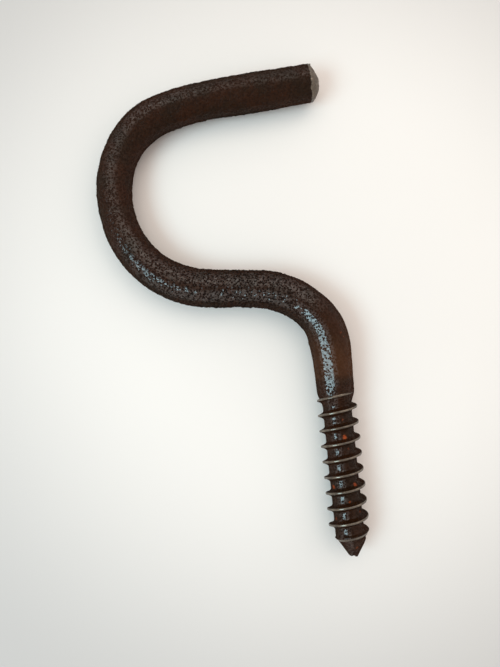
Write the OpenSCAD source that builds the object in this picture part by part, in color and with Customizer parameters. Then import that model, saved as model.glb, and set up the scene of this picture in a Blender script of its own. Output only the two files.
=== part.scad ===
// Screw hook: one forged rod with a coarse wood-screw thread at one end, a double bend
// that carries the hook to one side of the screw, and a round hook with a straight arm.
// It lies flat in the XY plane. The screw's axis is Y, its point looks along -Y, and the
// origin is on that axis where the plain shank ends and the thread begins.

/* [Rod] */
// Diameter of the rod, along shank, hook and arm
rod_d = 9; // [8.4:0.1:9.3]

/* [Neck] */
// Plain straight shank above the thread
shank_len = 11.5; // [6:0.5:30]
// Radius of the sharp bend that turns the rod away from the screw
neck_r = 13; // [10:0.5:18]
// Angle of the sharp bend
neck_angle = 38; // [30:1:44]
// Radius of the easier bend that follows it
ease_r = 20; // [16:0.5:30]
// Angle of the easier bend
ease_angle = 46; // [38:1:50]

/* [Hook] */
// Straight bridge between the neck and the hook
bridge_len = 11.5; // [4:0.5:20]
// Radius of the bend from the bridge round to the hook's back
heel_r = 23; // [20:0.5:28]
// Angle of that bend
heel_angle = 54.5; // [48:0.5:60]
// Radius of the hook's back, where a hung load rests
back_r = 25.5; // [20:0.5:30]
// Angle of the back
back_angle = 52; // [46:1:58]
// Radius of the bend from the back over to the arm
crown_r = 18; // [14:0.5:22]
// Angle of that bend
crown_angle = 50.5; // [45:0.5:55]
// Radius of the last easy curve into the arm
lead_r = 60; // [40:5:100]
// Angle of that curve
lead_angle = 13; // [6:1:20]

/* [Arm] */
// Straight arm, up to the edge of its cut end
arm_len = 23.4; // [10:0.1:40]
// Height of the low dome on the cut end
dome_h = 1.8; // [1:0.1:3]

/* [Thread] */
// Diameter over the crests of the thread
crest_d = 9.44; // [9.36:0.02:9.8]
// Diameter of the core between the ridges
core_d = 6.74; // [6:0.02:7.4]
// Distance from one ridge to the next
pitch = 3.63; // [3.2:0.01:4.2]
// Length from the end of the plain shank to the break in the point
screw_len = 36.8; // [30:0.2:60]
// Length over which the shank narrows to the core
runout_len = 3; // [2:0.1:5]
// Width of the ridge at its foot
foot_w = 2.1; // [1.6:0.1:2.6]
// Width of the ridge along its crest
crest_w = 0.24; // [0.1:0.02:0.6]

/* [Point] */
// Angle between the side of the point and the axis
point_angle = 31; // [26:1:38]
// Diameter of the point at the break
break_d = 2.5; // [1.8:0.1:3.2]
// Radius of the hollow left where the tip broke off
break_r = 2.5; // [2:0.1:4]
// Distance of that hollow's middle from the axis, so that one side stands as a horn
break_offset = 0.7; // [0.4:0.1:1]

/* [Hidden] */

rod_r = rod_d / 2;
// every second stretch is a hair thinner, so that no two tangent surfaces share an edge
hair = 0.01;
thin_r = rod_r - hair;
crest_r = crest_d / 2;
core_r = core_d / 2;
rod_fn = 96;

// the point starts at point_top and would come to a small flat end_r past the break
point_top = (core_r - break_d / 2) / tan(point_angle) - screw_len;
end_r = 0.4;
point_len = (core_r - end_r) / tan(point_angle);

// the ridge is a right-hand helix whose crest faces +Z at y = 0
ridge_seg = 24;
ridge_top = 0.75;
ridge_bottom = point_top + 0.4;
ridge_steps = floor((ridge_top - ridge_bottom) / pitch * ridge_seg);
// it swells out of the point, and sinks into the shank, over these parts of a turn
point_fade = 0.7;
shank_fade = 0.45;
// its foot is set this far into the core
foot_depth = 0.2;
foot_r = core_r - foot_depth;
low_r = core_r - foot_depth / 2;
top_r = rod_r - 0.1;

function ridge_y(i) = ridge_bottom + i * pitch / ridge_seg;
function ridge_angle(i) = 360 * ridge_y(i) / pitch;
function low_rise(i) = pow(min(1, i / ridge_seg / point_fade), 0.7);
function top_rise(i) = min(1, (ridge_steps - i) / ridge_seg / shank_fade);
function ridge_r(i) = min(low_r + (crest_r - low_r) * low_rise(i),
                          top_r + (crest_r - top_r) * top_rise(i));

// the ridge's outline at step i, as [radius, distance along the axis from the helix]
function ridge_outline(i) = [
    [foot_r, -foot_w / 2],
    [ridge_r(i), -crest_w / 2],
    [ridge_r(i), crest_w / 2],
    [foot_r, foot_w / 2]];

function ridge_point(i, p) = [
    p[0] * sin(ridge_angle(i)), ridge_y(i) + p[1], p[0] * cos(ridge_angle(i))];

// the part of a full ring of rod that lies from angle 0 to the angle given
module ring_part(radius, angle, r) {
    block = 2 * (radius + rod_d);
    difference() {
        rotate([0, 0, -90])
            rotate_extrude($fn = rod_fn)
                translate([radius, 0]) circle(r = r, $fn = rod_fn);
        translate([-block / 2, -block, -block / 2]) cube(block);
        rotate([0, 0, angle]) translate([-block / 2, 0, -block / 2]) cube(block);
    }
}

// a straight stretch of rod along +Y, with what follows it at its far end
module straight(length, r) {
    rotate([-90, 0, 0]) cylinder(r = r, h = length, $fn = rod_fn);
    translate([0, length, 0]) children();
}

// a bend to the left of +Y, with what follows it at its far end
module bend_left(radius, angle, r) {
    translate([-radius, 0, 0]) {
        ring_part(radius, angle, r);
        rotate([0, 0, angle]) translate([radius, 0, 0]) children();
    }
}

// the same to the right
module bend_right(radius, angle, r) {
    mirror([1, 0, 0]) bend_left(radius, angle, r) mirror([1, 0, 0]) children();
}

// the low dome that the shear left on the arm's end
module cut_end() {
    dome_r = (rod_r * rod_r + dome_h * dome_h) / (2 * dome_h);
    intersection() {
        translate([0, dome_h - dome_r, 0]) sphere(r = dome_r, $fn = rod_fn);
        rotate([-90, 0, 0]) cylinder(r = rod_r, h = dome_h + 1, $fn = rod_fn);
    }
}

// shank, double bend, hook and arm, each stretch carrying the next
module bent_rod() {
    color([0.17, 0.13, 0.11])
    straight(shank_len, rod_r)
    bend_left(neck_r, neck_angle, thin_r)
    bend_left(ease_r, ease_angle, rod_r)
    straight(bridge_len, thin_r)
    bend_right(heel_r, heel_angle, rod_r)
    bend_right(back_r, back_angle, thin_r)
    bend_right(crown_r, crown_angle, rod_r)
    bend_right(lead_r, lead_angle, thin_r)
    straight(arm_len, rod_r)
    cut_end();
}

// the screw's core: run-out, straight core and point, with the tip broken off
module screw_core() {
    color([0.16, 0.12, 0.1])
    difference() {
        rotate([90, 0, 0]) {
            cylinder(r1 = rod_r, r2 = core_r, h = runout_len, $fn = rod_fn);
            translate([0, 0, runout_len])
                cylinder(r = core_r, h = -point_top - runout_len, $fn = rod_fn);
            translate([0, 0, -point_top])
                cylinder(r1 = core_r, r2 = end_r, h = point_len, $fn = rod_fn);
        }
        translate([-break_offset, -screw_len - break_r, 0])
            cylinder(r = break_r, h = rod_d, center = true, $fn = rod_fn);
    }
}

// the ridge of the thread, a closed solid with its foot inside the core
module thread_ridge() {
    points = [for (i = [0:ridge_steps], p = ridge_outline(i)) ridge_point(i, p)];
    sides = [for (i = [0:ridge_steps - 1], k = [0:3])
        let (a = 4 * i + k, b = 4 * i + (k + 1) % 4)
        each [[a, b, b + 4], [a, b + 4, a + 4]]];
    last = 4 * ridge_steps;
    ends = [[2, 1, 0], [3, 2, 0], [last, last + 1, last + 2], [last, last + 2, last + 3]];
    color([0.3, 0.27, 0.24])
    polyhedron(points = points, faces = concat(sides, ends), convexity = 10);
}

module screw_hook() {
    bent_rod();
    screw_core();
    thread_ridge();
}

screw_hook();
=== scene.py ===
# %% [markdown]
# # A forged screw hook, dressed in Blender
#
# The hook is one bent iron rod of about 9 mm. One end is a wood screw with a broken point,
# then comes a short smooth shank, an S-bend, a wide C-shaped crook and a straight arm that was
# sheared off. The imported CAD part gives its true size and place. This lesson makes the skin that
# the CAD solid can't hold: the uneven forging, the pebbled scale, worn thread crests and rust.

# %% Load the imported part
from math import cos, pi, radians, sin, sqrt, tan

import bmesh
import bpy
from mathutils import Matrix, Vector, noise


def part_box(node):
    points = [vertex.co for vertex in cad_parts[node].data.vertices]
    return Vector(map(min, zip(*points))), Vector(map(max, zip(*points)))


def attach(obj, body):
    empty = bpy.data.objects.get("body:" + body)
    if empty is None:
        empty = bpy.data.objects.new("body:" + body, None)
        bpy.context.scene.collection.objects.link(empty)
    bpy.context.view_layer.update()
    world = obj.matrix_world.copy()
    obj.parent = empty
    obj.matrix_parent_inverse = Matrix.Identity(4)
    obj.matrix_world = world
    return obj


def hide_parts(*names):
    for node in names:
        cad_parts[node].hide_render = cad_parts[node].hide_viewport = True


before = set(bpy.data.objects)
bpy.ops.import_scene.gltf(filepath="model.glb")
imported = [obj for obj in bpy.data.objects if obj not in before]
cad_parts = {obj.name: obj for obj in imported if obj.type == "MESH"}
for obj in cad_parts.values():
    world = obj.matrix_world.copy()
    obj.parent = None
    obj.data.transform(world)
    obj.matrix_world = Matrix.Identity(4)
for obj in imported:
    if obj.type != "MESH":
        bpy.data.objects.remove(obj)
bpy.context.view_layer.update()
MM = 0.001
box_low, box_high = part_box("screw_hook")
box_centre = (box_low + box_high) / 2
print("packed hook", [round(v / MM, 1) for v in box_high - box_low], "mm")

# %% [markdown]
# ## The camera
#
# A small part looks natural from arm's length or closer, where the near side is plainly larger
# than the far side. The camera hangs over the hook, and its turn is the product of three small
# turns, so it is set as a matrix and not with a tracking constraint that would hide the roll.
# Its numbers weren't chosen by eye: a separate fitting program matched the rod's outline to the
# photograph's outline, and these are its results, rounded.

# %% Camera
AIM_FROM_CENTRE = Vector((5.32, -5.33, 0))     # mm
CAMERA_DISTANCE = 134.33                        # mm
CAMERA_TILTS = (-3.5, -0.79, 5.33)              # degrees about X, Y and Z
SENSOR_WIDTH, LENS = 36, 30.22                  # mm

aim = Vector((box_centre.x, box_centre.y, 0)) + AIM_FROM_CENTRE * MM
turn = (
    Matrix.Rotation(radians(CAMERA_TILTS[0]), 3, "X")
    @ Matrix.Rotation(radians(CAMERA_TILTS[1]), 3, "Y")
    @ Matrix.Rotation(radians(CAMERA_TILTS[2]), 3, "Z")
).transposed()
camera = bpy.data.objects.new("camera", bpy.data.cameras.new("camera"))
camera.data.sensor_width = SENSOR_WIDTH
camera.data.lens = LENS
camera.data.clip_start = 0.01
camera.matrix_world = (
    Matrix.Translation(aim + turn @ Vector((0, 0, CAMERA_DISTANCE * MM))) @ turn.to_4x4()
)
bpy.context.scene.collection.objects.link(camera)
bpy.context.scene.camera = camera
bpy.context.scene.view_settings.view_transform = "Standard"
print("camera at", [round(v / MM, 1) for v in camera.location], "mm")

# %% [markdown]
# ## The floor
#
# The hook lies flat, so the floor is a plane at the lowest point of the part. It is an off-white
# board with a pool of light painted on it. It is far wider than the view, so that its edge never
# shows from the side.

# %% Floor
FLOOR_WIDTH = 3.0


def build_mesh_object(name, bm):
    mesh = bpy.data.meshes.new(name)
    bm.to_mesh(mesh)
    bm.free()
    obj = bpy.data.objects.new(name, mesh)
    bpy.context.scene.collection.objects.link(obj)
    print(name, len(mesh.polygons), "faces")
    return obj


bm = bmesh.new()
bmesh.ops.create_grid(bm, x_segments=1, y_segments=1, size=FLOOR_WIDTH / 2)
bmesh.ops.translate(bm, verts=bm.verts, vec=(box_centre.x, box_centre.y, box_low.z))
floor = build_mesh_object("floor", bm)

# %% [markdown]
# ## The light
#
# Three soft lamps and a pale world. A cool lamp stands on the left like a window, wider than it
# is tall, and draws the bluish streak down the shank and round the bends. A broad warm lamp on
# the right and a broad neutral one above fill the far sides. The warm glow of the world does the
# rest, which keeps the shadows on the board faint. The camera and the gloss on the iron see the
# world as pale grey, so that a view from the side has a plain background too.


# %% Lamps and world
def soft_lamp(name, direction, distance, size, power, colour):
    lamp = bpy.data.lights.new(name, "AREA")
    lamp.shape = "RECTANGLE"
    lamp.size, lamp.size_y = size
    lamp.energy = power
    lamp.color = colour
    obj = bpy.data.objects.new(name, lamp)
    toward = Vector(direction).normalized()
    obj.location = box_centre + toward * distance
    obj.rotation_mode = "QUATERNION"
    obj.rotation_quaternion = toward.to_track_quat("Z", "Y")
    bpy.context.scene.collection.objects.link(obj)


soft_lamp("cool_lamp", direction=(-0.61, -0.23, 0.75), distance=0.60,
          size=(0.38, 0.24), power=1.75, colour=(0.56, 0.86, 0.96))
soft_lamp("warm_lamp", direction=(0.75, 0.35, 0.55), distance=0.70,
          size=(0.80, 0.80), power=1.4, colour=(1.0, 0.85, 0.76))
soft_lamp("top_lamp", direction=(0.02, 0.45, 0.89), distance=0.90,
          size=(0.90, 0.50), power=1.2, colour=(1.0, 0.96, 0.84))

GLOW, GLOW_STRENGTH = (1.0, 0.90, 0.855, 1.0), 0.72
PALE_GREY = (0.76, 0.74, 0.72, 1.0)

world = bpy.data.worlds.new("studio")
bpy.context.scene.world = world
world.use_nodes = True
nodes, links = world.node_tree.nodes, world.node_tree.links
glow = nodes["Background"]
glow.inputs["Color"].default_value = GLOW
glow.inputs["Strength"].default_value = GLOW_STRENGTH
backdrop = nodes.new("ShaderNodeBackground")
backdrop.inputs["Color"].default_value = PALE_GREY
path = nodes.new("ShaderNodeLightPath")
sees = path.outputs["Is Camera Ray"]
for kind in ("Is Glossy Ray", "Is Transmission Ray"):
    either = nodes.new("ShaderNodeMath")
    either.operation = "MAXIMUM"
    links.new(sees, either.inputs[0])
    links.new(path.outputs[kind], either.inputs[1])
    sees = either.outputs[0]
swap = nodes.new("ShaderNodeMixShader")
links.new(sees, swap.inputs[0])
links.new(glow.outputs[0], swap.inputs[1])
links.new(backdrop.outputs[0], swap.inputs[2])
links.new(swap.outputs[0], nodes["World Output"].inputs["Surface"])

# %% [markdown]
# ## The rod's path
#
# The rod was bent in one plane, into an S-bend and then the crook. The same stretches are used
# here as in the CAD part: straight runs, and arcs to the left or right with a bend radius at the
# rod's middle. Their lengths, radii and angles come from the same fit as the camera, rounded. The
# rod is one ring of points that spin carries along this path, a step at a time.

# %% Path of the bent rod, in mm and degrees
def ease(x, low, high):
    t = min(max((x - low) / (high - low), 0.0), 1.0)
    return t * t * (3 - 2 * t)


ROD_RADIUS = 4.5
RING_POINTS = 128
RING_STEP = 0.29                                # mm
JOIN_Y = 2.4                                    # the rod's skin starts here, above the thread
STRETCHES = [
    ("straight", 11.5 - JOIN_Y, 0),             # shank
    ("left", 13.0, 38.0),                       # neck
    ("left", 20.0, 46.0),                       # neck, easing off
    ("straight", 11.5, 0),                      # bridge
    ("right", 23.0, 54.5),                      # heel of the crook
    ("right", 25.5, 52.0),                      # back
    ("right", 18.0, 50.5),                      # crown
    ("right", 60.0, 13.0),                      # easing into the arm
    ("straight", 23.4, 0),                      # arm
]
rod = bmesh.new()
along = rod.verts.layers.float.new("along")
polish = rod.verts.layers.float.new("polish")
bmesh.ops.create_circle(rod, segments=RING_POINTS, radius=ROD_RADIUS * MM)
bmesh.ops.rotate(rod, verts=rod.verts, matrix=Matrix.Rotation(radians(-90), 3, "X"))
bmesh.ops.translate(rod, verts=rod.verts, vec=(0, JOIN_Y * MM, 0))

# %% [markdown]
# ## Sweeping the ring
#
# bmesh has spin for this. With an angle it turns the ring about a centre, and with no angle and
# a small shift it pushes the ring straight on, so one helper makes both kinds of stretch. Every
# ring is kept with its centre and its distance along the rod, because the forging marks that
# come later are worked from the middle of the rod outward.


# %% Sweep the rod
def carry_ring(bm, ring, centre, angle, shift):
    made = bmesh.ops.spin(
        bm, geom=ring, cent=centre, axis=(0, 0, 1), dvec=shift, angle=angle, steps=1,
        use_merge=False, use_normal_flip=False, use_duplicate=False,
    )
    return made["geom_last"]


def ring_points(ring):
    return [g for g in ring if isinstance(g, bmesh.types.BMVert)]


def ring_edges(ring):
    return [g for g in ring if isinstance(g, bmesh.types.BMEdge)]


ring = rod.verts[:] + rod.edges[:]
middle, heading, travelled = Vector((0, JOIN_Y * MM, 0)), radians(90), JOIN_Y
rings = [(travelled, middle.copy(), heading, ring_points(ring))]
for kind, size, angle in STRETCHES:
    length = size if kind == "straight" else size * radians(angle)
    steps = round(length / RING_STEP)
    turn_sign = {"straight": 0, "left": 1, "right": -1}[kind]
    side = Vector((-sin(heading), cos(heading), 0)) * turn_sign
    bend_centre = middle + side * size * MM
    for _ in range(steps):
        step_angle = turn_sign * radians(angle) / steps
        ahead = Vector((cos(heading), sin(heading), 0)) * length / steps * MM
        shift = ahead if kind == "straight" else Vector()
        ring = carry_ring(rod, ring, bend_centre, step_angle, shift)
        if kind == "straight":
            middle = middle + shift
        else:
            middle = bend_centre + Matrix.Rotation(step_angle, 3, "Z") @ (middle - bend_centre)
        heading += step_angle
        travelled += length / steps
        rings.append((travelled, middle.copy(), heading, ring_points(ring)))
for distance, _, _, points in rings:
    for v in points:
        v[along] = distance
print("rod", len(rings), "rings,", round(travelled, 1), "mm long")

# %% [markdown]
# ## The sheared end
#
# The arm was cut with a shear and left a shallow dome with a sharp rim. The last ring is
# extruded inward in a few steps, each one further out along the arm, and the small hole that
# remains is filled and poked. These faces get their own material slot, because the cut never
# had any scale on it. The cut isn't quite square either. The last few millimetres are slid along
# the arm, so that the upper side of the rim sits further back than the lower side and wanders to
# and fro like a torn edge, and the dome is a little lower on one half.

# %% Dome on the arm's end
DOME_HEIGHT = 2.1
DOME_STEPS = 11
DOME_SINKS = 0.4
CUT_SLANT, CUT_BEYOND, CUT_WANDER = 0.2, 0.35, 1.5   # mm: rim back at the top, out, to and fro
CUT_REACH = 4.0                                 # mm of the arm that slides with the cut
CUT_GRAIN = 0.5                                 # waves per mm
ARM_FROM_Y = 60                                 # mm, only crook and arm lie beyond this
ball = (ROD_RADIUS**2 + DOME_HEIGHT**2) / (2 * DOME_HEIGHT)
ahead = Vector((cos(heading), sin(heading), 0))
left_of_arm = Vector((-ahead.y, ahead.x, 0))
side_faces = len(rod.faces)
arm_end, loop, last_radius, last_rise = middle.copy(), ring_edges(ring), ROD_RADIUS, 0.0
for k in range(1, DOME_STEPS):
    radius = ROD_RADIUS * (1 - k / DOME_STEPS)
    rise = sqrt(ball**2 - radius**2) - (ball - DOME_HEIGHT)
    made = bmesh.ops.extrude_edge_only(rod, edges=loop)["geom"]
    points = ring_points(made)
    bmesh.ops.scale(
        rod, verts=points, vec=(radius / last_radius,) * 3,
        space=Matrix.Translation(-(arm_end + ahead * last_rise * MM)),
    )
    bmesh.ops.translate(rod, verts=points, vec=ahead * (rise - last_rise) * MM)
    loop, last_radius, last_rise = ring_edges(made), radius, rise
cap = bmesh.ops.contextual_create(rod, geom=loop)["faces"]
peak = bmesh.ops.poke(rod, faces=cap)["verts"]
bmesh.ops.translate(rod, verts=peak, vec=ahead * (DOME_HEIGHT - last_rise) * MM)
rod.faces.ensure_lookup_table()
for face in rod.faces[side_faces:]:
    face.material_index = 1
for v in rod.verts:
    from_end = (v.co - arm_end).dot(ahead) / MM
    if v.co.y > ARM_FROM_Y * MM and from_end > -CUT_REACH:
        upward = v.co.z / MM / ROD_RADIUS
        leftward = (v.co - arm_end).dot(left_of_arm) / MM / ROD_RADIUS
        near_rim = max(0, upward) * (1 - ease(from_end, 0.1, 0.9))
        slide = CUT_BEYOND + CUT_WANDER * noise.noise(v.co / MM * CUT_GRAIN) * near_rim
        slide -= CUT_SLANT * upward + DOME_SINKS * max(0, from_end) * max(0, leftward)
        v.co += ahead * slide * MM * ease(from_end, -CUT_REACH, 0)
print("sheared end", len(rod.faces) - side_faces, "faces")

# %% [markdown]
# ## Uneven forging
#
# Hammered and bent iron is never one thickness. The rod's rings are scaled about their centres
# to follow twelve thicknesses, blended softly from one to the next. Nobody measured these on the
# real hook: they are results of the fitting program that also gave the camera and the path,
# rounded to 0.1 mm. The dome goes with the last ring.
# The neck was also hammered on one side, which left a long narrow flat from the thread up into
# the bend: whatever stands out past a plane beside the rod is pushed back onto it. The plane
# leans over a little more in the bend. Hands and wood have rubbed the same side of the rod, so a
# number called "polish" is stored on its points: high along the flat, a scatter along the bridge
# and the lower bend, and a faint rub along the top of the crook.

# %% Vary the thickness
THICKNESS_STEP = 13.2                           # mm along the rod from one to the next
THICKNESS = [8.8, 9.4, 9.2, 8.9, 9.1, 8.7, 8.4, 8.6, 9.1, 8.9, 9.3, 8.8]
# Where each change begins and is complete, in mm along the rod
FLAT_THINS, FLAT_FADES = (5, 22), (17, 27)
IN_BEND, ON_BRIDGE = (8, 15), (30, 50)
RUB_FADES, TOP_RUB_FADES = (50, 84), (105, 130)
FLAT_DEPTH = 0.16                               # mm
FLAT_LEAN, MORE_IN_BEND, MORE_ON_BRIDGE = 20, 7, 6   # degrees from straight up, to the left
RUB, MORE_RUB_PAST_FLAT, TOP_RUB, LEAST_POLISH = 1.0, 0.3, 0.9, 0.05
RUBBED_TOP = Vector((0, 0.45, 0.89))


def rod_thickness(distance):
    place = min(max(distance / THICKNESS_STEP, 0.0), len(THICKNESS) - 1.001)
    k = int(place)
    blend = (1 - cos(pi * (place - k))) / 2
    return THICKNESS[k] * (1 - blend) + THICKNESS[k + 1] * blend


def scale_about(points, centre, factor):
    for v in points:
        v.co = centre + (v.co - centre) * factor


def flat_side(distance, heading):
    lean = FLAT_LEAN + MORE_IN_BEND * ease(distance, *IN_BEND)
    lean = radians(lean + MORE_ON_BRIDGE * ease(distance, *ON_BRIDGE))
    left_side = Vector((-sin(heading), cos(heading), 0))
    return left_side * sin(lean) + Vector((0, 0, cos(lean)))


def press_flat(points, centre, outward, reach):
    for v in points:
        beyond = (v.co - centre).dot(outward) - reach * MM
        if beyond > 0:
            v.co -= outward * beyond


for distance, centre, heading, points in rings:
    if distance < travelled:
        scale_about(points, centre, rod_thickness(distance) / (2 * ROD_RADIUS))
    outward = flat_side(distance, heading)
    past_flat = ease(distance, *FLAT_FADES)
    rub = RUB + MORE_RUB_PAST_FLAT * past_flat
    rub -= (RUB + MORE_RUB_PAST_FLAT) * ease(distance, *RUB_FADES)
    top_rub = TOP_RUB * past_flat * (1 - 0.45 * ease(distance, *TOP_RUB_FADES))
    band = (0.86 + 0.05 * past_flat, 0.96 + 0.02 * past_flat)
    for v in points:
        facing = (v.co - centre).normalized()
        v[polish] = max(LEAST_POLISH, rub * ease(facing.dot(outward), *band),
                        top_rub * ease(facing.dot(RUBBED_TOP), 0.75, 1.0))
    depth = FLAT_DEPTH * (1 - 0.5 * ease(distance, *FLAT_THINS)) * (1 - past_flat)
    if depth > 0:
        press_flat(points, centre, outward, rod_thickness(distance) / 2 - depth)
dome_points = list({v for f in rod.faces[side_faces:] for v in f.verts})
scale_about(dome_points, arm_end, rod_thickness(travelled) / (2 * ROD_RADIUS))
print("thickness", min(THICKNESS), "to", max(THICKNESS), "mm")

# %% [markdown]
# ## The thread
#
# A wood-screw thread is a narrow ridge with a wide flat valley. The outline of one pitch is a
# short chain of points, and spin sweeps it like a screw when it gets a shift as well as an
# angle. Neighbouring turns share an edge, so merging the doubles makes one clean skin. The turns
# run past both ends and are cut off level.

# %% Sweep one pitch of the thread
PITCH = 3.63
CORE_RADIUS = 3.37
CREST_RADIUS = 4.74
TURN_STEPS = 96
THREAD_TURNS, TURNS_BELOW = 12, 11
HALF_RIDGE = [(0.0, 4.74), (0.14, 4.735), (0.22, 4.69), (0.28, 4.54), (0.36, 4.25),
              (0.49, 3.97), (0.63, 3.71), (0.79, 3.51), (0.98, 3.40), (1.20, 3.37),
              (1.50, 3.37), (PITCH / 2, 3.37)]
thread_low = -TURNS_BELOW * PITCH
screw = bmesh.new()
outline = [(-dy, r) for dy, r in reversed(HALF_RIDGE)] + HALF_RIDGE[1:]
chain = [screw.verts.new((0, (thread_low + dy) * MM, r * MM)) for dy, r in outline]
chain += [screw.edges.new(pair) for pair in zip(chain, chain[1:])]
bmesh.ops.spin(
    screw, geom=chain, cent=(0, 0, 0), axis=(0, 1, 0),
    dvec=(0, PITCH / TURN_STEPS * MM, 0), angle=2 * pi * THREAD_TURNS,
    steps=TURN_STEPS * THREAD_TURNS, use_merge=False, use_normal_flip=False,
    use_duplicate=False,
)
bmesh.ops.remove_doubles(screw, verts=screw.verts, dist=0.01 * MM)
print("thread", len(screw.faces), "faces")

# %% [markdown]
# ## Run-out, point and broken tip
#
# Real threads don't stop dead. Under the shank the valley rises to the rod's full thickness, and
# the first turn shrinks to a fine line before it sinks in. At the other end the point is a plain
# cone, a little off the screw's axis, that cuts valley and crest alike, and its tip has snapped
# off with a small notch and a horn. Each of these is a rule for how far a point is from the
# screw's axis at its height, so the points are moved and nothing is rebuilt. The flat of the neck
# runs on down to the first turn, and the valleys are polished on the same upper left side.

# %% Shape the ends of the thread
SHANK_RADIUS = 4.41
SCREW_TOP, SCREW_BOTTOM = JOIN_Y - 0.3, -38.6   # mm, where the swept thread is cut off level
RUNOUT_TOP, RUNOUT_BOTTOM = 1.2, -2.9
FLAT_ENDS, FLAT_FULL = -0.2, 0.6
POINT_Y, POINT_ANGLE, POINT_SHIFT = -39.09, 31.0, 0.4
BREAK_Y, BREAK_SLOPE, BREAK_GRAIN, BREAK_REACH = -37.3, 0.25, 0.14, 0.9
NOTCH_X, NOTCH_DEPTH, NOTCH_HALF_WIDTH = 0.3, 0.3, 0.45
NEEDLE_RADIUS = 0.12
RUBBED_SIDE = Vector((-0.41, 0, 0.91))


def screw_radius(y, r):
    shank = CORE_RADIUS + (SHANK_RADIUS - CORE_RADIUS) * ease(y, RUNOUT_BOTTOM, RUNOUT_TOP)
    ridge_kept = 1 - 0.27 * ease(y, -2.0, 0.2) - 0.73 * ease(y, 0.4, 2.0)
    thread = CORE_RADIUS + (r - CORE_RADIUS) * ridge_kept
    cone = (y - POINT_Y) * tan(radians(POINT_ANGLE))
    return max(min(max(thread, shank), cone), NEEDLE_RADIUS)


for height, outward in ((SCREW_TOP, 1), (SCREW_BOTTOM, -1)):
    bmesh.ops.bisect_plane(
        screw, geom=screw.verts[:] + screw.edges[:] + screw.faces[:], dist=1e-7,
        plane_co=(0, height * MM, 0), plane_no=(0, outward, 0), clear_outer=True,
    )
crest = screw.verts.layers.float.new("crest")
polish = screw.verts.layers.float.new("polish")
for v in screw.verts:
    r, y = Vector((v.co.x, 0, v.co.z)).length / MM, v.co.y / MM
    v[crest] = (r - CORE_RADIUS) / (CREST_RADIUS - CORE_RADIUS)
    v[polish] = 0.1 + 0.9 * ease(v.co.dot(RUBBED_SIDE) / (r * MM), 0.90, 0.98)
    wanted = screw_radius(y, r)
    v.co.x = v.co.x * wanted / r + POINT_SHIFT * ease(-y, 32.2, 34.5) * MM
    v.co.z = v.co.z * wanted / r
    if y > FLAT_ENDS:
        reach = rod_thickness(JOIN_Y) / 2 - FLAT_DEPTH * ease(y, FLAT_ENDS, FLAT_FULL)
        press_flat([v], Vector(), flat_side(0, radians(90)), reach)
low_edge = [e for e in screw.edges if e.is_boundary and e.verts[0].co.y < 0]
tip_cap = bmesh.ops.contextual_create(screw, geom=low_edge)["faces"]
bmesh.ops.poke(screw, faces=tip_cap)
for v in screw.verts:
    p = v.co / MM
    if p.y < BREAK_Y + BREAK_REACH:
        notch = NOTCH_DEPTH * max(0.0, 1 - abs(p.x - NOTCH_X) / NOTCH_HALF_WIDTH)
        torn = BREAK_Y - BREAK_SLOPE * p.x + notch + BREAK_GRAIN * noise.noise(p * 1.7)
        v.co.y = max(p.y, torn) * MM
print("screw", len(screw.verts), "points, lowest", round(min(v.co.y for v in screw.verts) / MM, 2))

# %% [markdown]
# ## One skin
#
# The rod and the screw are one forging, so their meshes become one. The screw is copied into
# the rod's mesh and the two open rings, 0.3 mm apart, are bridged.

# %% Join screw and rod
screw_mesh = bpy.data.meshes.new("screw_part")
screw.to_mesh(screw_mesh)
screw.free()
rod.from_mesh(screw_mesh)
bpy.data.meshes.remove(screw_mesh)
open_edges = [e for e in rod.edges if e.is_boundary]
bmesh.ops.bridge_loops(rod, edges=open_edges)
bmesh.ops.recalc_face_normals(rod, faces=rod.faces)
print("open edges left", sum(e.is_boundary for e in rod.edges), "faces", len(rod.faces))

# %% [markdown]
# ## Hammer marks and pebbles
#
# Scale lifts and pits the rod like orange peel, while the shank next to the thread is smoother.
# Broad hammer marks and the larger pebbles change the outline, so they have to be in the mesh:
# each point moves along its own normal by a few layers of noise, which is the same on each run.
# The rubbed flat stays almost level. No point may sink into the floor, so the underside is held
# at the lowest height of the part. The finest pebbles come later, as bump in the material. Most
# places of the dents were picked by eye in the photograph and turned into millimetres by a
# separate program that knew the camera, then rounded, and some were shifted by eye.

# %% Press the marks into the skin
PEBBLED_FROM, PEBBLED_FULL = 6.0, 30.0          # mm along the rod
DENTS = [
    (Vector((-52.2, 61.5, 0.5)), 2.6, 0.22),
    (Vector((-53.0, 55.0, 0.0)), 2.2, 0.16),
    (Vector((-52.5, 47.5, 0.8)), 2.4, 0.22),
    (Vector((-22.0, 23.2, 0.0)), 1.8, 0.30),
    (Vector((-19.6, 23.3, 0.0)), 2.0, -0.16),
    (Vector((-4.9, 14.6, 0.4)), 1.0, 0.20),
    (Vector((-5.0, 12.6, 0.0)), 5.0, -0.50),
    (Vector((-5.3, 12.9, 0.0)), 0.8, -0.40),
    (Vector((0.2, 75.5, 4.3)), 0.9, 0.35),
]                                               # place, width and depth in mm, bumps below 0
COARSE_MIDDLE, COARSE_REACH = 40.0, 16.0        # the coarsest pebbles, mm along the rod
COARSER = 1.3
BROAD_WAVES = [(0.13, 0.10), (0.45, 0.07)]      # waves per mm, height in mm
PEBBLE_WAVES = [(1.1, 0.07), (2.3, 0.15)]
SCREW_RELIEF = 0.25
CROOK_TO_X = -10                                # mm, the crook lies left of this, the screw right


def on_screw(v):
    return v.co.y < JOIN_Y * MM and v.co.x > CROOK_TO_X * MM


def waves(p, layers):
    return sum(height * noise.noise(p * scale) for scale, height in layers)


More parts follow.
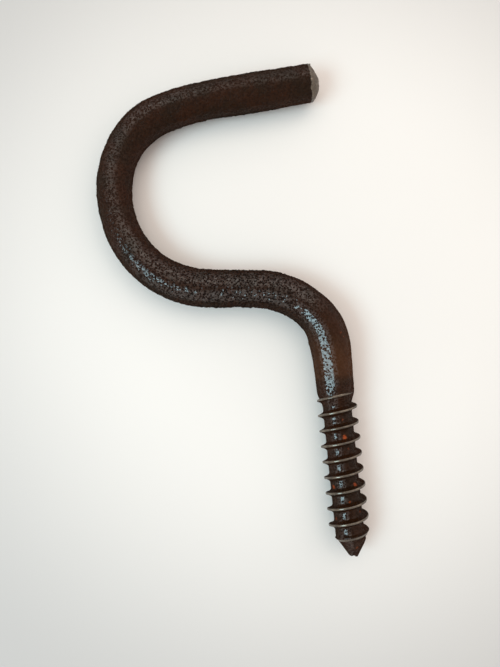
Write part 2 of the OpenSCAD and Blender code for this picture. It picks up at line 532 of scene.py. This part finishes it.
def relief(p, distance):
    pebbled = ease(distance, PEBBLED_FROM, PEBBLED_FULL)
    coarse = 1 + COARSER * max(0.0, 1 - abs(distance - COARSE_MIDDLE) / COARSE_REACH)
    height = waves(p, BROAD_WAVES) + pebbled * coarse * waves(p, PEBBLE_WAVES)
    for place, width, depth in DENTS:
        height -= depth * max(0.0, 1 - (p - place).length / width) ** 2
    return height


rod.normal_update()
along = rod.verts.layers.float["along"]
polish = rod.verts.layers.float["polish"]
moves = []
for v in rod.verts:
    strength = 1 - 0.9 * v[polish] * (1 - ease(v[along], 14, 30))
    if on_screw(v):
        strength = SCREW_RELIEF
    moves.append(strength * relief(v.co / MM, v[along]) * MM)
for v, move in zip(rod.verts, moves):
    v.co += v.normal * move
    v.co.z = max(v.co.z, box_low.z)
print("relief", round(min(moves) / MM, 3), "to", round(max(moves) / MM, 3), "mm")

# %% [markdown]
# ## Where the scale is gone
#
# Three numbers are stored on the points for the materials to read. "worn" is high on the crests
# of the thread and on the rim of the cut end, where the dark scale has rubbed off. "rust" grows
# round a few spots, most of them placed in the same way as the dents. "smooth" is highest where
# the shank turns into the neck, lower on the rest of the rod and 0 in the middle of the bridge,
# where the pebbles are coarsest. All three follow the surface, so they stay in place from any
# side.

# %% Store wear, rust and smoothness on the points
RUST_SPOTS = [
    (Vector((0.6, -9.6, 3.4)), 0.75, 1.0), (Vector((0.6, -5.6, 3.4)), 0.55, 0.45),
    (Vector((1.3, -12.3, 3.2)), 0.55, 0.5), (Vector((-3.0, -21.0, 1.8)), 0.8, 0.75),
    (Vector((1.9, -20.6, 3.0)), 0.75, 0.75), (Vector((0.2, -24.4, 3.3)), 0.6, 0.45),
    (Vector((-3.2, -28.3, 1.5)), 0.7, 0.6), (Vector((2.7, -27.0, 2.4)), 0.7, 0.5),
    (Vector((2.6, -18.6, 2.6)), 0.6, 0.45), (Vector((2.2, 14.5, 4.2)), 0.9, 0.33),
    (Vector((2.9, 13.5, 3.8)), 0.7, 0.3), (Vector((0.9, -35.0, 2.4)), 0.9, 0.3),
    (Vector((-17.8, 27.0, 4.4)), 0.5, 0.25),
]                                               # place, radius in mm, strength
PLAIN_SMOOTH = 0.6
crest = rod.verts.layers.float["crest"]
worn = rod.verts.layers.float.new("worn")
rust = rod.verts.layers.float.new("rust")
smooth = rod.verts.layers.float.new("smooth")
for v in rod.verts:
    p = v.co / MM
    if on_screw(v):
        v[worn] = ease(v[crest], 0.84, 0.98) * ease(-p.y, -0.7, -0.1) * ease(p.y, -35.0, -34.2)
    from_end = (p - arm_end / MM).dot(ahead)
    if p.y > ARM_FROM_Y and from_end > -0.6:
        off_axis = (p - arm_end / MM).cross(ahead).length
        v[worn] = ease(off_axis, 3.3, 4.2) * ease(from_end, -0.3, 0.1)
    coarse = max(0.0, 1 - abs(v[along] - COARSE_MIDDLE) / (2 * COARSE_REACH))
    on_neck = ease(v[along], 2, 6) * (1 - ease(v[along], 20, 40))
    v[smooth] = (PLAIN_SMOOTH + (1 - PLAIN_SMOOTH) * on_neck) * (1 - coarse)
    near = [strength * (1 - (p - q).length / size) for q, size, strength in RUST_SPOTS
            if (p - q).length < size]
    v[rust] = max(near, default=0.0)
print("worn points", sum(v[worn] > 0.5 for v in rod.verts))

# %% Write the hook
for face in rod.faces:
    face.smooth = True
for edge in rod.edges:
    if len({f.material_index for f in edge.link_faces}) > 1:
        edge.smooth = False
hook = build_mesh_object("hook", rod)

# %% [markdown]
# ## Helpers for node materials
#
# A material is a tree of nodes. The first helper adds a node and fills its inputs, with a link
# where it is given another node's output and with a plain value otherwise. Four short ones use it
# for the nodes that come up again and again, and one starts a node group with named inputs and
# outputs.


# %% Node helpers
def add_node(tree, kind, inputs=None, **settings):
    node = tree.nodes.new(kind)
    for name, value in settings.items():
        setattr(node, name, value)
    for name, value in (inputs or {}).items():
        if isinstance(value, bpy.types.NodeSocket):
            tree.links.new(value, node.inputs[name])
        else:
            node.inputs[name].default_value = value
    return node


def math_node(tree, operation, a, b=0.0, c=0.0, clamp=False):
    return add_node(tree, "ShaderNodeMath", {0: a, 1: b, 2: c}, operation=operation,
                    use_clamp=clamp).outputs[0]


def remap(tree, value, low, high, to_low=0.0, to_high=1.0):
    return add_node(
        tree, "ShaderNodeMapRange",
        {"Value": value, "From Min": low, "From Max": high, "To Min": to_low, "To Max": to_high},
        interpolation_type="SMOOTHSTEP",
    ).outputs["Result"]


def mix_colour(tree, factor, a, b):
    return add_node(tree, "ShaderNodeMix", {0: factor, 6: a, 7: b}, data_type="RGBA").outputs[2]


def place_group(tree, group, inputs):
    return add_node(tree, "ShaderNodeGroup", inputs, node_tree=group).outputs


def start_group(name, inputs, outputs):
    tree = bpy.data.node_groups.new(name, "ShaderNodeTree")
    for socket, kind in inputs.items():
        tree.interface.new_socket(socket, in_out="INPUT", socket_type=kind)
    for socket, kind in outputs.items():
        tree.interface.new_socket(socket, in_out="OUTPUT", socket_type=kind)
    return tree, tree.nodes.new("NodeGroupInput").outputs, tree.nodes.new("NodeGroupOutput").inputs


FLOAT, COLOUR, VECTOR = "NodeSocketFloat", "NodeSocketColor", "NodeSocketVector"
print("node helpers ready")

# %% [markdown]
# ## Pebbled scale
#
# The scale is a skin of ridges round small pits, about half a millimetre from pit to pit.
# Voronoi cells with soft borders give this net, and noise bends it. Thin curled lines, soft
# lumps and fine grit lie over it. The group hands back three things: the height for the bump, how
# close a spot is to the tops, and broad patches for the colour. It works in millimetres, so its
# numbers can be checked with a ruler.

# %% Pebbled scale group
pebbles, g_in, g_out = start_group(
    "pebbled_scale",
    {"Position": VECTOR, "Smooth": FLOAT},
    {"Height": FLOAT, "Tops": FLOAT, "Patches": FLOAT},
)
bend_noise = add_node(pebbles, "ShaderNodeTexNoise",
                      {"Vector": g_in["Position"], "Scale": 1.3, "Detail": 2.0})
bent = add_node(pebbles, "ShaderNodeVectorMath",
                {0: bend_noise.outputs["Color"], 1: (0.5, 0.5, 0.5)}, operation="SUBTRACT")
bent_place = add_node(pebbles, "ShaderNodeVectorMath",
                      {0: bent.outputs[0], 1: (0.45, 0.45, 0.45), 2: g_in["Position"]},
                      operation="MULTIPLY_ADD")
cells = add_node(pebbles, "ShaderNodeTexVoronoi",
                 {"Vector": bent_place.outputs[0], "Scale": 1.9, "Smoothness": 0.25},
                 feature="SMOOTH_F1")
net = remap(pebbles, cells.outputs["Distance"], 0.22, 0.60)
curls = add_node(pebbles, "ShaderNodeTexNoise",
                 {"Vector": g_in["Position"], "Scale": 1.7, "Detail": 1.0, "Roughness": 0.4})
off_line = math_node(pebbles, "ABSOLUTE", math_node(pebbles, "SUBTRACT", curls.outputs["Fac"], 0.5))
lines = remap(pebbles, off_line, 0.0, 0.07, 1.0, 0.0)
lumps = add_node(pebbles, "ShaderNodeTexNoise",
                 {"Vector": g_in["Position"], "Scale": 1.3, "Detail": 2.0, "Roughness": 0.55})
grit = add_node(pebbles, "ShaderNodeTexNoise",
                {"Vector": g_in["Position"], "Scale": 6.0, "Detail": 3.0})
curled = math_node(pebbles, "MULTIPLY_ADD", lines, 0.35, lumps.outputs["Fac"])
raised = math_node(pebbles, "MULTIPLY_ADD", net, 0.55, curled)
keep = remap(pebbles, g_in["Smooth"], 0.0, 1.0, 1.0, 0.3)
height = math_node(pebbles, "MULTIPLY", raised, keep)
gritty = math_node(pebbles, "MULTIPLY_ADD", grit.outputs["Fac"], 0.05, height)
pebbles.links.new(gritty, g_out["Height"])
pebbles.links.new(remap(pebbles, raised, 0.60, 1.35), g_out["Tops"])
patches = add_node(pebbles, "ShaderNodeTexNoise",
                   {"Vector": g_in["Position"], "Scale": 0.16, "Detail": 5.0, "Roughness": 0.6})
pebbles.links.new(remap(pebbles, patches.outputs["Fac"], 0.38, 0.64), g_out["Patches"])
print("pebbled scale", len(pebbles.nodes), "nodes")

# %% [markdown]
# ## Bare steel and rust
#
# Where the scale has rubbed off the steel is tan and silvery with fine streaks, and rust blooms
# in small soft-edged spots. The worn crests and the sheared end share one group for the steel.
# The stored masks are blurry, so noise is added before they are cut, which frays their edges.

# %% Bare steel and rust groups
TAN_STEEL, BROWN_STEEL = (0.15, 0.118, 0.085, 1), (0.075, 0.055, 0.038, 1)
DEEP_RUST, BRIGHT_RUST = (0.23, 0.035, 0.010, 1), (0.36, 0.075, 0.018, 1)
steel, g_in, g_out = start_group(
    "bare_steel", {"Position": VECTOR, "Worn": FLOAT}, {"Mask": FLOAT, "Colour": COLOUR},
)
streaks = add_node(steel, "ShaderNodeTexNoise",
                   {"Vector": g_in["Position"], "Scale": 3.5, "Detail": 4.0, "Roughness": 0.65})
frayed = math_node(steel, "ADD", g_in["Worn"], math_node(
    steel, "MULTIPLY", math_node(steel, "SUBTRACT", streaks.outputs["Fac"], 0.5), 0.9))
steel.links.new(remap(steel, frayed, 0.35, 0.75), g_out["Mask"])
tint = add_node(steel, "ShaderNodeTexNoise",
                {"Vector": g_in["Position"], "Scale": 0.9, "Detail": 4.0})
steel.links.new(mix_colour(steel, remap(steel, tint.outputs["Fac"], 0.35, 0.65),
                           TAN_STEEL, BROWN_STEEL), g_out["Colour"])

bloom, g_in, g_out = start_group(
    "rust_bloom", {"Position": VECTOR, "Rust": FLOAT}, {"Mask": FLOAT, "Colour": COLOUR},
)
mottle = add_node(bloom, "ShaderNodeTexNoise",
                  {"Vector": g_in["Position"], "Scale": 3.0, "Detail": 5.0, "Roughness": 0.6})
eaten = math_node(bloom, "ADD", g_in["Rust"], math_node(
    bloom, "MULTIPLY", math_node(bloom, "SUBTRACT", mottle.outputs["Fac"], 0.5), 0.6))
bloom.links.new(remap(bloom, eaten, 0.12, 0.62), g_out["Mask"])
bloom.links.new(mix_colour(bloom, remap(bloom, mottle.outputs["Fac"], 0.4, 0.6),
                           DEEP_RUST, BRIGHT_RUST), g_out["Colour"])
print("groups", [g.name for g in bpy.data.node_groups])

# %% [markdown]
# ## Forged iron
#
# The whole skin is one material. Under everything lies near-black brown iron with warmer and
# colder patches, and the smooth neck is browner. The hollows between the pebble tops are darkened
# with painted shade, and the tops are glossier than the hollows. The steel shows on the crests, and
# rust sits on top of all of it. A thin clear shine lies on the tops wherever "polish" is high and
# on the bare crests. Seen at a slant the scale looks dull, so the gloss and the shine both fade
# there.


# %% Forged iron material
def start_material(name):
    material = bpy.data.materials.new(name)
    material.use_nodes = True
    tree = material.node_tree
    shader = tree.nodes["Principled BSDF"]
    coords = add_node(tree, "ShaderNodeTexCoord")
    place = add_node(tree, "ShaderNodeVectorMath",
                     {0: coords.outputs["Object"], 1: (1 / MM,) * 3}, operation="MULTIPLY")
    return material, tree, shader, place.outputs[0]


def attribute(tree, name):
    return add_node(tree, "ShaderNodeAttribute", attribute_name=name).outputs["Fac"]


# near-black painted shade for the hollows between the pebbles
PAINTED_PIT_SHADE = (0.006, 0.0018, 0.0008, 1)
BROWN_IRON = (0.028, 0.0082, 0.0020, 1)
GREY_IRON = (0.019, 0.0078, 0.0026, 1)
NECK_BROWN = (0.052, 0.0185, 0.0060, 1)
STEEL_ROUGHNESS, RUST_ROUGHER = 0.2, 0.4
iron, tree, shader, place = start_material("forged_iron")
scale = place_group(tree, pebbles, {"Position": place, "Smooth": attribute(tree, "smooth")})
bare = place_group(tree, steel, {"Position": place, "Worn": attribute(tree, "worn")})
rusty = place_group(tree, bloom, {"Position": place, "Rust": attribute(tree, "rust")})
body = mix_colour(tree, scale["Patches"], BROWN_IRON, GREY_IRON)
warm = math_node(tree, "MULTIPLY", remap(tree, attribute(tree, "smooth"), 0.6, 1.0),
                 remap(tree, scale["Patches"], 0.0, 1.0, 0.35, 1.0))
body = mix_colour(tree, warm, body, NECK_BROWN)
# Painted shade: the hollows between the pebble tops are darkened, least where the rod is smooth
even = remap(tree, attribute(tree, "smooth"), 0.0, 1.0, 0.05, 0.85)
shade = math_node(tree, "MAXIMUM", remap(tree, scale["Tops"], 0.0, 0.6), even)
body = mix_colour(tree, shade, PAINTED_PIT_SHADE, body)
body = mix_colour(tree, bare["Mask"], body, bare["Colour"])
body = mix_colour(tree, rusty["Mask"], body, rusty["Colour"])
tree.links.new(body, shader.inputs["Base Color"])
rough = remap(tree, scale["Tops"], 0.0, 0.8, 0.50, 0.18)
rough = math_node(tree, "MULTIPLY_ADD", bare["Mask"],
                  math_node(tree, "SUBTRACT", STEEL_ROUGHNESS, rough), rough)
rough = math_node(tree, "MULTIPLY_ADD", rusty["Mask"], RUST_ROUGHER, rough, clamp=True)
slant = add_node(tree, "ShaderNodeLayerWeight", {"Blend": 0.5}).outputs["Facing"]
rough = math_node(tree, "ADD", rough, remap(tree, slant, 0.30, 0.75, 0.0, 0.65), clamp=True)
tree.links.new(rough, shader.inputs["Roughness"])
tree.links.new(math_node(tree, "MULTIPLY", bare["Mask"], 0.8), shader.inputs["Metallic"])
shine = math_node(tree, "MULTIPLY", attribute(tree, "polish"),
                  remap(tree, scale["Tops"], 0.1, 1.2, 0.0, 1.0))
shine = math_node(tree, "MULTIPLY", shine, remap(tree, slant, 0.22, 0.55, 1.0, 0.0))
shine = math_node(tree, "MAXIMUM", shine, math_node(tree, "MULTIPLY", bare["Mask"], 0.6))
tree.links.new(shine, shader.inputs["Coat Weight"])
shader.inputs["Specular IOR Level"].default_value = 0.08
shader.inputs["Coat IOR"].default_value = 1.7
shader.inputs["Coat Roughness"].default_value = 0.09
height = math_node(tree, "MULTIPLY", scale["Height"], remap(tree, bare["Mask"], 0.0, 1.0, 1.0, 0.2))
bump = add_node(tree, "ShaderNodeBump", {"Height": height, "Distance": 0.19 * MM, "Strength": 1.0})
tree.links.new(bump.outputs["Normal"], shader.inputs["Normal"])
hook.data.materials.append(iron)
print("forged iron", len(tree.nodes), "nodes")

# %% [markdown]
# ## Sheared steel
#
# The cut end is bare steel gone dull: grey-beige, grainy across the cut and never scaled.

# %% Sheared end material
DARK_CUT = (0.09, 0.068, 0.05, 1)
sheared, tree, shader, place = start_material("sheared_steel")
bare = place_group(tree, steel, {"Position": place, "Worn": 1.0})
grain = add_node(tree, "ShaderNodeTexNoise",
                 {"Vector": place, "Scale": 2.2, "Detail": 6.0, "Roughness": 0.7})
dull = mix_colour(tree, remap(tree, grain.outputs["Fac"], 0.35, 0.65), DARK_CUT, bare["Colour"])
tree.links.new(dull, shader.inputs["Base Color"])
tree.links.new(remap(tree, grain.outputs["Fac"], 0.3, 0.7, 0.65, 0.45), shader.inputs["Roughness"])
shader.inputs["Metallic"].default_value = 0.3
bump = add_node(tree, "ShaderNodeBump",
                {"Height": grain.outputs["Fac"], "Distance": 0.12 * MM, "Strength": 1.0})
tree.links.new(bump.outputs["Normal"], shader.inputs["Normal"])
hook.data.materials.append(sheared)
print("sheared steel", len(tree.nodes), "nodes")

# %% [markdown]
# ## The board
#
# The floor is off-white and matte with the faintest mottle, so that it stays plain. A pool of light
# is painted into its colour: brightest beside the hook, with painted shade greying it slowly away
# from there.

# %% Board material
OFF_WHITE, NEAR_WHITE = (0.84, 0.82, 0.79, 1), (0.90, 0.88, 0.85, 1)
# Painted light and shade: the board's colour greys away from a painted bright spot beside the hook
PAINTED_SHADE_GREY = (0.545, 0.533, 0.522, 1)
PAINTED_LIGHT_CENTRE = box_centre / MM + Vector((22, 8, 0))
PAINTED_FADE_FROM, PAINTED_FADE_TO = 40.0, 124.0                # mm from the brightest spot
board, tree, shader, place = start_material("pale_board")
cloud = add_node(tree, "ShaderNodeTexNoise", {"Vector": place, "Scale": 0.012, "Detail": 3.0})
paper = mix_colour(tree, cloud.outputs["Fac"], OFF_WHITE, NEAR_WHITE)
from_painted_light = add_node(tree, "ShaderNodeVectorMath", {0: place, 1: tuple(PAINTED_LIGHT_CENTRE)},
                     operation="DISTANCE").outputs["Value"]
paper = mix_colour(tree, remap(tree, from_painted_light, PAINTED_FADE_FROM, PAINTED_FADE_TO), paper, PAINTED_SHADE_GREY)
tree.links.new(paper, shader.inputs["Base Color"])
shader.inputs["Roughness"].default_value = 0.75
floor.data.materials.append(board)
print("pale board", len(tree.nodes), "nodes")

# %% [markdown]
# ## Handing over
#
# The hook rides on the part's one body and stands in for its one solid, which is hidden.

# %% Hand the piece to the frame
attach(hook, "root")
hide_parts("screw_hook")
